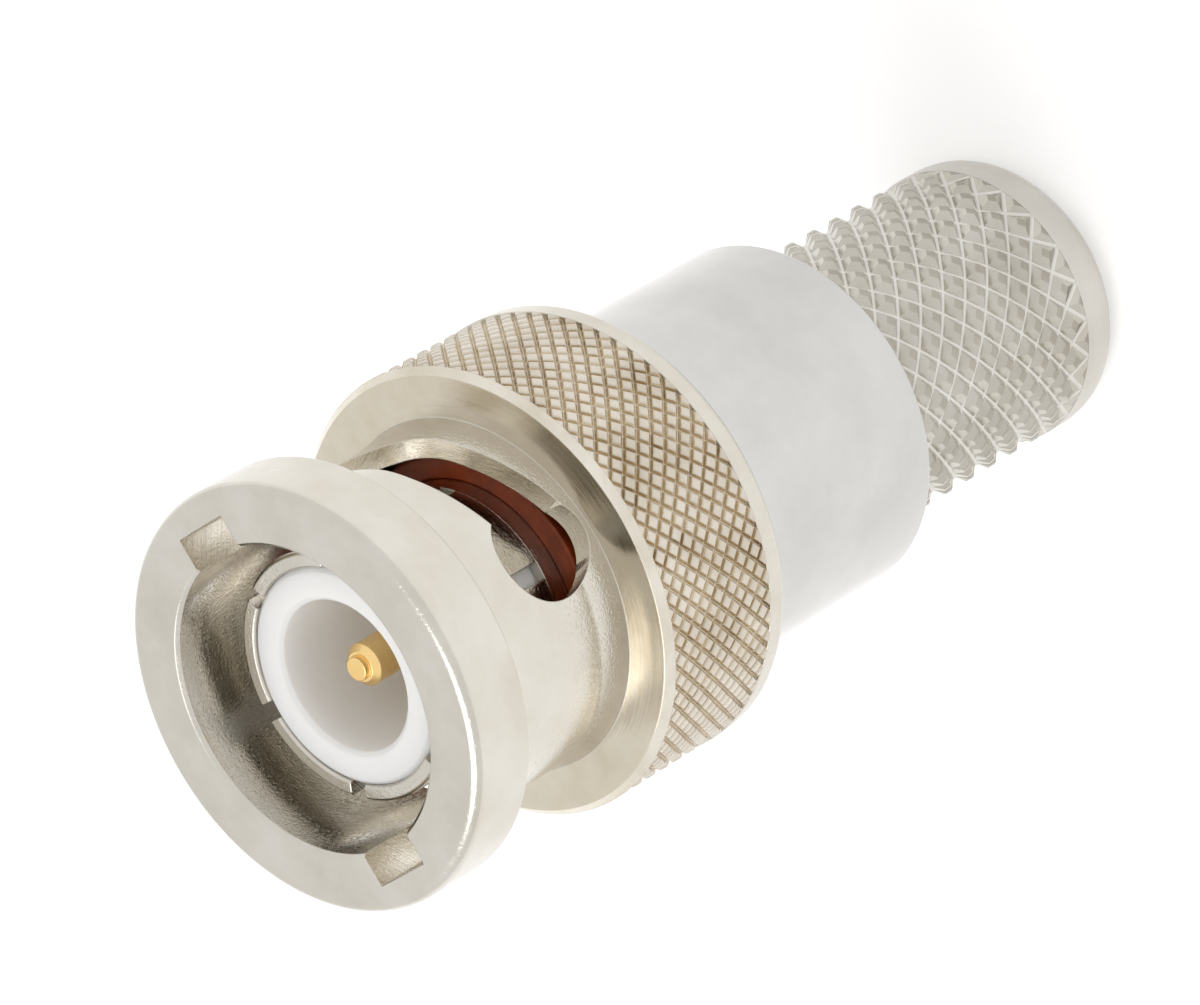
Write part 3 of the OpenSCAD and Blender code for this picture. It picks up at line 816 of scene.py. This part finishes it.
@dataclass
class OuterContact:
    """The outer contact: six spring fingers, a shoulder and a spigot."""

    tip: float = 32.0
    bead: float = 3.97
    bead_rear: float = 30.8
    finger: float = 3.85
    bore: float = 3.47
    root: float = 26.6
    slots: int = 6
    slot_width: float = 0.55
    slot_turn: float = -3.0
    worn: float = 0.035

    def ring_profile(self) -> list[Stretch]:
        """Draws the profile of all that lies behind the slots.

        Returns:
            The pieces of the closed profile.
        """
        return stretches([
            Corner(3.0, 16.05, 0.05), Corner(4.0, 16.05, 0.1), Corner(4.0, 23.4, 0.03),
            Corner(4.6, 23.4, 0.06), Corner(4.6, 24.8, 0.06), Corner(self.finger, 24.8, 0.03),
            Corner(self.finger, self.root), Corner(self.bore, self.root),
            Corner(self.bore, 22.0, 0.03), Corner(3.0, 22.0, 0.03)])

    def finger_profile(self) -> list[Stretch]:
        """Draws the cross-section of one finger.

        Returns:
            The pieces of the closed cross-section.
        """
        return stretches([
            Corner(self.bore, self.root, 0.001), Corner(self.finger, self.root, 0.001),
            Corner(self.finger, self.bead_rear, 0.3), Corner(self.bead, self.bead_rear + 0.12, 0.2),
            Corner(self.bead, self.tip - 0.1, 0.08), Corner(self.bead - 0.1, self.tip, 0.06),
            Corner(self.bore + 0.06, self.tip, 0.04), Corner(self.bore, self.tip - 0.06, 0.04)], 20)

    def build_finger(self, draft: Draft, start: float, end: float) -> None:
        """Adds one finger between two slots.

        Args:
            draft: the mesh that gets the finger.
            start: the angle of the slot before it, in radians.
            end: the angle of the slot after it, in radians.
        """
        profile = self.finger_profile()
        half, steps = self.slot_width / 2, 26
        stations: list[tuple[float, float, float]] = [(0.0, 0.0, self.worn), (0.0, self.worn, 0.0)]
        stations += [(k / steps, self.worn, 0.0) for k in range(1, steps)]
        stations += [(1.0, self.worn, 0.0), (1.0, 0.0, self.worn)]

        def angle(share: float, off: float, r: float) -> float:
            """Finds the angle of a station at a radius.

            Args:
                share: its share of the way across the finger.
                off: how far it stands off the slot's wall.
                r: the radius.

            Returns:
                The angle, in radians.
            """
            side = math.asin((half + off) / r)
            return (start + side) * (1 - share) + (end - side) * share

        def put(point: Point, normal: Point, station: tuple[float, float, float]) -> tuple[Triple, float]:
            """Places a point of the cross-section at a station.

            Args:
                point: its radius and height.
                normal: its normal, radial and along the axis.
                station: share across the finger, distance off the wall, and inset.

            Returns:
                The point and its angle.
            """
            share, off, inset = station
            r, z = point[0] - normal[0] * inset, point[1] - normal[1] * inset
            a = angle(share, off, r)
            return (r * math.cos(a), r * math.sin(a), z), a

        for k in range(len(stations) - 1):
            edge = -1.0 if k == 0 else 1.0 if k == len(stations) - 2 else 0.0
            for piece in profile:
                corners = [(piece.start, piece.start_normal, k), (piece.start, piece.start_normal, k + 1),
                           (piece.end, piece.end_normal, k + 1), (piece.end, piece.end_normal, k)]
                points, normals = [], []
                for point, normal, station in corners:
                    place, a = put(point, normal, stations[station])
                    outer_end = (edge < 0 and station == 0) or (edge > 0 and station == len(stations) - 1)
                    side = edge if outer_end else 0.0
                    n = Vector((normal[0] * math.cos(a) - side * math.sin(a),
                                normal[0] * math.sin(a) + side * math.cos(a), normal[1]))
                    points.append(place)
                    normals.append(tuple(n.normalized()))
                draft.face(points, normals, 0)
        for k, side in ((0, -1.0), (len(stations) - 1, 1.0)):
            ring = [put(piece.start, piece.start_normal, stations[k]) for piece in profile]
            a = start if side < 0 else end
            points = [place for place, _ in ring]
            if side > 0:
                points = points[::-1]
            draft.face(points, [(-side * math.sin(a), side * math.cos(a), 0.0)] * len(points), 1)

    def build(self, bench: Bench) -> bpy.types.Object:
        """Builds the contact as one piece.

        Args:
            bench: gives the materials.

        Returns:
            The contact's object.
        """
        draft = Draft()
        draft.turn(self.ring_profile())
        step = 2 * math.pi / self.slots
        for k in range(self.slots):
            start = math.radians(self.slot_turn) + (k + 0.5) * step
            self.build_finger(draft, start, start + step)
        piece = draft.piece("outer_contact_dressed", [bench.get(Finish.TURNED), bench.get(Finish.MILLED)])
        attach(piece, "plug_body")
        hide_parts("outer_contact")
        return piece


@dataclass
class InnerParts:
    """The gasket, the insulators, the pin and the washers."""

    gasket: float = 4.6
    gasket_bore: float = 3.85
    gasket_rear: float = 24.8
    gasket_front: float = 26.0
    cup: float = 3.47
    cup_bore: float = 2.41
    cup_rear: float = 22.0
    cup_floor: float = 25.1
    cup_front: float = 32.0
    cup_edge: float = 0.15
    stem: float = 0.9
    pin: float = 0.675
    pin_step: float = 31.02
    pin_tip: float = 31.4
    collar: float = 1.4
    collar_rear: float = 21.2
    barrel: float = 1.05
    barrel_rear: float = 15.05
    well: float = 0.5
    well_end: float = 20.05

    def turned(self, name: str, node: str, slot: str, corners: list[Corner],
               material: bpy.types.Material) -> bpy.types.Object:
        """Builds one turned piece that stands for a CAD node.

        Args:
            name: the piece's name.
            node: the CAD node that it stands for.
            slot: the record's material slot, which is not used.
            corners: its profile.
            material: its material.

        Returns:
            The piece's object.
        """
        draft = Draft()
        draft.turn(stretches(corners), 192)
        piece = draft.piece(name, [material])
        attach(piece, "plug_body")
        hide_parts(node)
        return piece

    def build(self, bench: Bench) -> list[bpy.types.Object]:
        """Builds the gasket, the front insulator and the pin.

        Args:
            bench: gives the materials.

        Returns:
            The three objects.
        """
        gasket = self.turned("front_gasket_dressed", "front_gasket", "gasket_silicone", [
            Corner(self.gasket_bore, self.gasket_rear, 0.05), Corner(self.gasket, self.gasket_rear, 0.1),
            Corner(self.gasket, self.gasket_front, 0.12), Corner(self.gasket_bore, self.gasket_front, 0.06)],
            bench.get(Finish.SILICONE))
        insulator = self.turned("front_insulator_dressed", "front_insulator", "insulator_ptfe", [
            Corner(self.stem, self.cup_rear, 0.02), Corner(self.cup, self.cup_rear, 0.1),
            Corner(self.cup, self.cup_front - self.cup_edge, 0.06),
            Corner(self.cup - self.cup_edge, self.cup_front, 0.08),
            Corner(self.cup_bore + self.cup_edge, self.cup_front, 0.08),
            Corner(self.cup_bore, self.cup_front - self.cup_edge, 0.06),
            Corner(self.cup_bore, self.cup_floor, 0.2), Corner(self.stem, self.cup_floor, 0.05)],
            bench.get(Finish.PTFE))
        pin = self.turned("centre_pin_dressed", "centre_pin", "pin_gold", [
            Corner(0.0, self.well_end), Corner(self.well, self.well_end, 0),
            Corner(self.well, self.barrel_rear, 0.03), Corner(self.barrel, self.barrel_rear, 0.05),
            Corner(self.barrel, self.collar_rear, 0.02), Corner(self.collar, self.collar_rear, 0.05),
            Corner(self.collar, self.cup_rear, 0.05), Corner(self.stem, self.cup_rear, 0.02),
            Corner(self.stem, self.cup_floor + 0.1, 0.05), Corner(self.pin, self.cup_floor + 0.1, 0.02),
            Corner(self.pin, self.pin_step, 0.06), Corner(self.pin - 0.2, self.pin_step + 0.2, 0.03),
            Corner(0.38, self.pin_step + 0.2, 0.02), Corner(0.38, self.pin_tip, 0.04), Corner(0.0, self.pin_tip)],
            bench.get(Finish.GOLD))
        return [gasket, insulator, pin]

    def dress(self, bench: Bench) -> None:
        """Gives the CAD nodes that stay their materials.

        Args:
            bench: gives the materials.
        """
        finishes = {"rear_insulator": Finish.PTFE, "braid_post": Finish.TURNED, "flat_washer": Finish.SPRING,
                    "thrust_washer": Finish.SPRING}
        for name, finish in finishes.items():
            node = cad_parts[name]
            for place in node.material_slots:
                place.material = bench.get(finish)


@dataclass
class WaveSprings:
    """The two wave washers, which the nut's travel flattens against the flat washer."""

    strip: float = 0.22    # thickness of the strip
    width: float = 0.5     # width of the strip
    waves: int = 3
    steps: int = 144
    travel: float = 0.6    # the nut's travel, which both springs take up

    def ring(self, node: str, phase: float) -> Draft:
        """Lofts one strip bent into waves, in the space of its CAD node.

        Args:
            node: the CAD node that gives its height and outer radius.
            phase: where the first wave starts, in radians.

        Returns:
            The mesh in the making.
        """
        low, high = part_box(node)
        outer, base = high[0] / MM, low[2] / MM
        inner = outer - self.width
        swing = ((high[2] - low[2]) / MM - self.strip) / 2
        draft, ups = Draft(), []
        for k in range(self.steps):
            angle = 2 * math.pi * k / self.steps
            c, s = math.cos(angle), math.sin(angle)
            z = base + swing * (1 + math.cos(self.waves * angle + phase))
            slope = -swing * self.waves * math.sin(self.waves * angle + phase) / ((inner + outer) / 2)
            ups.append(((c, s), Vector((slope * s, -slope * c, 1.0)).normalized()))
            draft.points += [(r * c, r * s, h) for r, h in
                             ((inner, z), (outer, z), (outer, z + self.strip), (inner, z + self.strip))]
        for k in range(self.steps):
            n = (k + 1) % self.steps
            for side in range(4):
                a, b = 4 * k + side, 4 * k + (side + 1) % 4
                c, d = 4 * n + (side + 1) % 4, 4 * n + side
                draft.faces.append((a, d, c, b))
                draft.slots.append(0)
                draft.normals += [self.normal(side, *ups[i]) for i in (k, n, n, k)]
        return draft

    def normal(self, side: int, out: Point, up: Vector) -> Triple:
        """Gives the strip's normal on one of its four sides.

        Args:
            side: bottom, outside, top or inside, from 0.
            out: the direction away from the axis.
            up: the normal of the strip's upper face.

        Returns:
            The normal.
        """
        turned = -1.0 if side in (0, 3) else 1.0
        if side in (0, 2):
            return (turned * up.x, turned * up.y, turned * up.z)
        return (turned * out[0], turned * out[1], 0.0)

    def build(self, bench: Bench) -> list[bpy.types.Object]:
        """Builds both springs.

        Args:
            bench: gives the material.

        Returns:
            The two objects.
        """
        springs = []
        for node, phase in (("wave_washer_front", 0.0), ("wave_washer_rear", math.pi)):
            piece = self.ring(node, phase).piece(node + "_dressed", [bench.get(Finish.SPRING)])
            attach(piece, "plug_body")
            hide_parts(node)
            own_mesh(piece)
            springs.append(piece)
        return springs


@dataclass
class Tail:
    """The rear body and the knurled cable grip that is pressed into it."""

    body: float = 5.76
    body_rear: float = 11.34
    body_front: float = 20.14
    grip: float = 4.65
    knurl_rear: float = 1.8
    coarse_cut: float = 0.28

    def build_body(self, bench: Bench) -> bpy.types.Object:
        """Builds the plain polished body.

        Args:
            bench: gives the materials.

        Returns:
            The body's object.
        """
        draft = Draft()
        draft.turn(stretches([
            Corner(3.9, self.body_rear, 0.05), Corner(self.body, self.body_rear, 0.15),
            Corner(self.body, self.body_front, 0.15), Corner(4.0, self.body_front, 0.1),
            Corner(4.0, 16.05), Corner(2.35, 16.05), Corner(2.35, 14.6), Corner(3.9, 14.6)]))
        piece = draft.piece("rear_body_dressed", [bench.get(Finish.POLISHED)])
        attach(piece, "plug_body")
        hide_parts("rear_body")
        return piece

    def build_grip(self, bench: Bench) -> bpy.types.Object:
        """Builds the grip with its coarse knurl and the rings in its bore.

        Args:
            bench: gives the materials.

        Returns:
            The grip's object.
        """
        bed = self.grip - self.coarse_cut - 0.04
        rings = []
        for k in reversed(range(10)):
            rings += [Corner(2.9, 3.55 + 1.1 * k, 0.04), Corner(3.15, 3.0 + 1.1 * k, 0)]
        draft = Draft()
        draft.turn(stretches([
            Corner(3.15, 0.0, 0.12), Corner(self.grip, 0.0, 1.0), Corner(self.grip, self.knurl_rear),
            Corner(bed, self.knurl_rear), Corner(bed, self.body_rear), Corner(3.9, self.body_rear),
            Corner(3.9, 14.6), Corner(3.15, 14.6), Corner(3.15, 14.0), *rings]))
        Knurl(self.grip - 0.01, self.coarse_cut, self.knurl_rear, self.body_rear, 23, 17,
              0.3, 0.04, 0.14, 0.03, 0.12, 0.7, (1, 2, 3)).build(draft)
        piece = draft.piece("grip_sleeve_dressed", [
            bench.get(f) for f in (Finish.TUMBLED, Finish.KNURLED, Finish.FLANK, Finish.GROOVE)])
        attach(piece, "plug_body")
        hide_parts("grip_sleeve")
        return piece


# ----------------------------------------------------------------------- studio


@dataclass
class Studio:
    """The floor, the light and the camera."""

    lens: float = 227.2
    elevation: float = 42.0
    roll: float = -120.3
    sensor: float = 36.0
    place: Triple = (0.62, -170.5, 173.3)
    # The soft room, from the floor's level up to overhead
    room: tuple[tuple[float, str], ...] = ((0.0, "#F2F1EF"), (0.5, "#EEEEED"), (0.85, "#E6E5E3"), (1.0, "#D2D0CD"))
    # Half the floor's width and how far it lies below the plug, both in metres
    floor_half: float = 1.5
    floor_drop: float = 0.00002
    paper: float = 0.9
    # What lifts the paper to plain white where it is seen, with the shadow left in it
    paper_lift: float = 0.32
    lamp_place: Triple = (-0.25, 0.1, 0.6)
    lamp_width: float = 0.5
    lamp_watts: float = 1.2

    def build_camera(self) -> bpy.types.Object:
        """Places the camera.

        Returns:
            The camera's object.
        """
        data = bpy.data.cameras.new("studio_camera")
        data.lens, data.sensor_width = self.lens, self.sensor
        data.clip_start, data.clip_end = 0.01, 10.0
        camera = bpy.data.objects.new("studio_camera", data)
        bpy.context.scene.collection.objects.link(camera)
        level = Matrix.Rotation(math.radians(90 - self.elevation), 4, "X")
        camera.matrix_world = (Matrix.Translation([v * MM for v in self.place]) @ level
                               @ Matrix.Rotation(math.radians(self.roll), 4, "Z"))
        bpy.context.scene.camera = camera
        return camera

    def build_world(self) -> None:
        """Lights the plug with a soft room and shows plain white behind it, in metal too."""
        world = bpy.data.worlds.new("studio_room")
        bpy.context.scene.world = world
        world.use_nodes = True
        tree = world.node_tree
        tree.nodes.clear()
        way = add(tree, "ShaderNodeTexCoord").outputs["Generated"]
        parts = add(tree, "ShaderNodeSeparateXYZ", None, {0: way})
        walls = add(tree, "ShaderNodeValToRGB", None, {"Fac": parts.outputs["Z"]})
        self.fill(walls.color_ramp, self.room)
        light = add(tree, "ShaderNodeBackground", None, {"Color": walls.outputs[0], "Strength": 1.0})
        white = add(tree, "ShaderNodeBackground", None, {"Color": (1, 1, 1, 1), "Strength": 1.0})
        mix = add(tree, "ShaderNodeMixShader", None,
                  {0: self.shown(tree), 1: light.outputs[0], 2: white.outputs[0]})
        add(tree, "ShaderNodeOutputWorld", None, {"Surface": mix.outputs[0]})

    def shown(self, tree: bpy.types.NodeTree) -> bpy.types.NodeSocket:
        """Picks out the rays that see the plain background: the camera's, and those of metal and glass.

        Args:
            tree: the node tree.

        Returns:
            A socket that is 1 for those rays and 0 for the rest.
        """
        path = add(tree, "ShaderNodeLightPath")
        mirrored = add(tree, "ShaderNodeMath", {"operation": "MAXIMUM"},
                       {0: path.outputs["Is Glossy Ray"], 1: path.outputs["Is Transmission Ray"]})
        return add(tree, "ShaderNodeMath", {"operation": "MAXIMUM"},
                   {0: path.outputs["Is Camera Ray"], 1: mirrored.outputs[0]}).outputs[0]

    def fill(self, ramp: bpy.types.ColorRamp, stops: tuple[tuple[float, str], ...]) -> None:
        """Sets a colour ramp's stops.

        Args:
            ramp: the ramp.
            stops: positions and sRGB hex colours, in order.
        """
        while len(ramp.elements) < len(stops):
            ramp.elements.new(0.5)
        for element, (position, code) in zip(ramp.elements, stops):
            element.position = position
            element.color = linear(code)

    def build_floor(self) -> bpy.types.Object:
        """Lays a plain pale floor that keeps the plug's shadow.

        Returns:
            The floor's object.
        """
        mesh = bpy.data.meshes.new("floor")
        half, low = self.floor_half, -self.floor_drop
        mesh.from_pydata([(-half, -half, low), (half, -half, low), (half, half, low), (-half, half, low)],
                         [], [(0, 1, 2, 3)])
        floor = bpy.data.objects.new("floor", mesh)
        bpy.context.scene.collection.objects.link(floor)
        mat = bpy.data.materials.new("Matt_Paper_Sheet")
        mat.use_nodes = True
        tree = mat.node_tree
        tree.nodes.clear()
        paper = add(tree, "ShaderNodeBsdfDiffuse", None, {"Color": (self.paper, self.paper, self.paper, 1.0)})
        glow = add(tree, "ShaderNodeEmission", None, {"Color": (1, 1, 1, 1), "Strength": self.paper_lift})
        sum_up = add(tree, "ShaderNodeAddShader", None, {0: paper.outputs[0], 1: glow.outputs[0]})
        mix = add(tree, "ShaderNodeMixShader", None,
                  {0: self.shown(tree), 1: paper.outputs[0], 2: sum_up.outputs[0]})
        add(tree, "ShaderNodeOutputMaterial", None, {"Surface": mix.outputs[0]})
        mesh.materials.append(mat)
        return floor

    def build_lamp(self) -> bpy.types.Object:
        """Hangs one large soft lamp over the plug.

        Returns:
            The lamp's object.
        """
        data = bpy.data.lights.new("soft_lamp", "AREA")
        data.shape, data.size, data.energy = "DISK", self.lamp_width, self.lamp_watts
        lamp = bpy.data.objects.new("soft_lamp", data)
        lamp.location = self.lamp_place
        lamp.rotation_euler = Vector(lamp.location).to_track_quat("Z", "Y").to_euler()
        bpy.context.scene.collection.objects.link(lamp)
        return lamp


def main() -> None:
    """Builds the plug's looks and the studio, piece by piece."""
    logging.basicConfig(level=logging.INFO, format="%(name)s: %(message)s")
    bpy.context.scene.view_settings.view_transform = "Standard"
    studio, bench = Studio(), Bench()
    studio.build_camera()
    studio.build_world()
    studio.build_floor()
    studio.build_lamp()
    pieces = [CouplingNut().build(bench), OuterContact().build(bench)]
    inner = InnerParts()
    pieces += inner.build(bench)
    inner.dress(bench)
    pieces += WaveSprings().build(bench)
    tail = Tail()
    pieces += [tail.build_body(bench), tail.build_grip(bench)]
    for piece in pieces:
        log.info("%s: %d faces", piece.name, len(piece.data.polygons))


if __name__ == "__main__":
    main()
